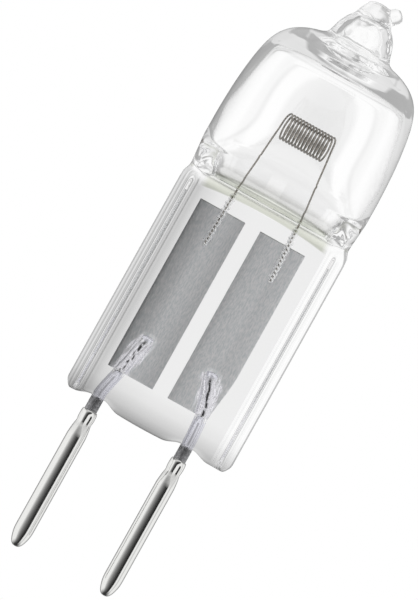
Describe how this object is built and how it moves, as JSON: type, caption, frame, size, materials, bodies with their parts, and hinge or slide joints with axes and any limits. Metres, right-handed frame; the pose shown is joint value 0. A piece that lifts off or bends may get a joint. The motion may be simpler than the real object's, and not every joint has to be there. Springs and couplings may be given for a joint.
{
  "type": "halogen capsule bulb",
  "caption": "Clear fused quartz capsule lamp with a tungsten coil in a domed bulb, a flat pinch seal around metal foils, and round contact pins in line.",
  "frame": {"origin": "on the glass axis, in the plane of the pin tips", "axes": "+Z along the lamp from the pin tips to the exhaust tip, +X from the left pin to the right pin, -Y out of the front of the flat seal"},
  "size_m": [0.0116, 0.0114, 0.0409],
  "materials": {
    "fused_quartz": "clear, fire polished",
    "tungsten_wire": "drawn wire, grey",
    "molybdenum_foil": "rolled, etched, grey",
    "molybdenum_rod": "drawn rod, dull grey",
    "nickel_sleeve": "bright nickel"
  },
  "bodies": {
    "root": {"quartz_envelope": "fused_quartz", "filament": "tungsten_wire", "leg_overwind_left": "tungsten_wire", "leg_overwind_right": "tungsten_wire", "foil_left": "molybdenum_foil", "foil_right": "molybdenum_foil", "outer_lead_left": "molybdenum_rod", "outer_lead_right": "molybdenum_rod", "pin_left": "nickel_sleeve", "pin_right": "nickel_sleeve"}
  },
  "joints": []
}
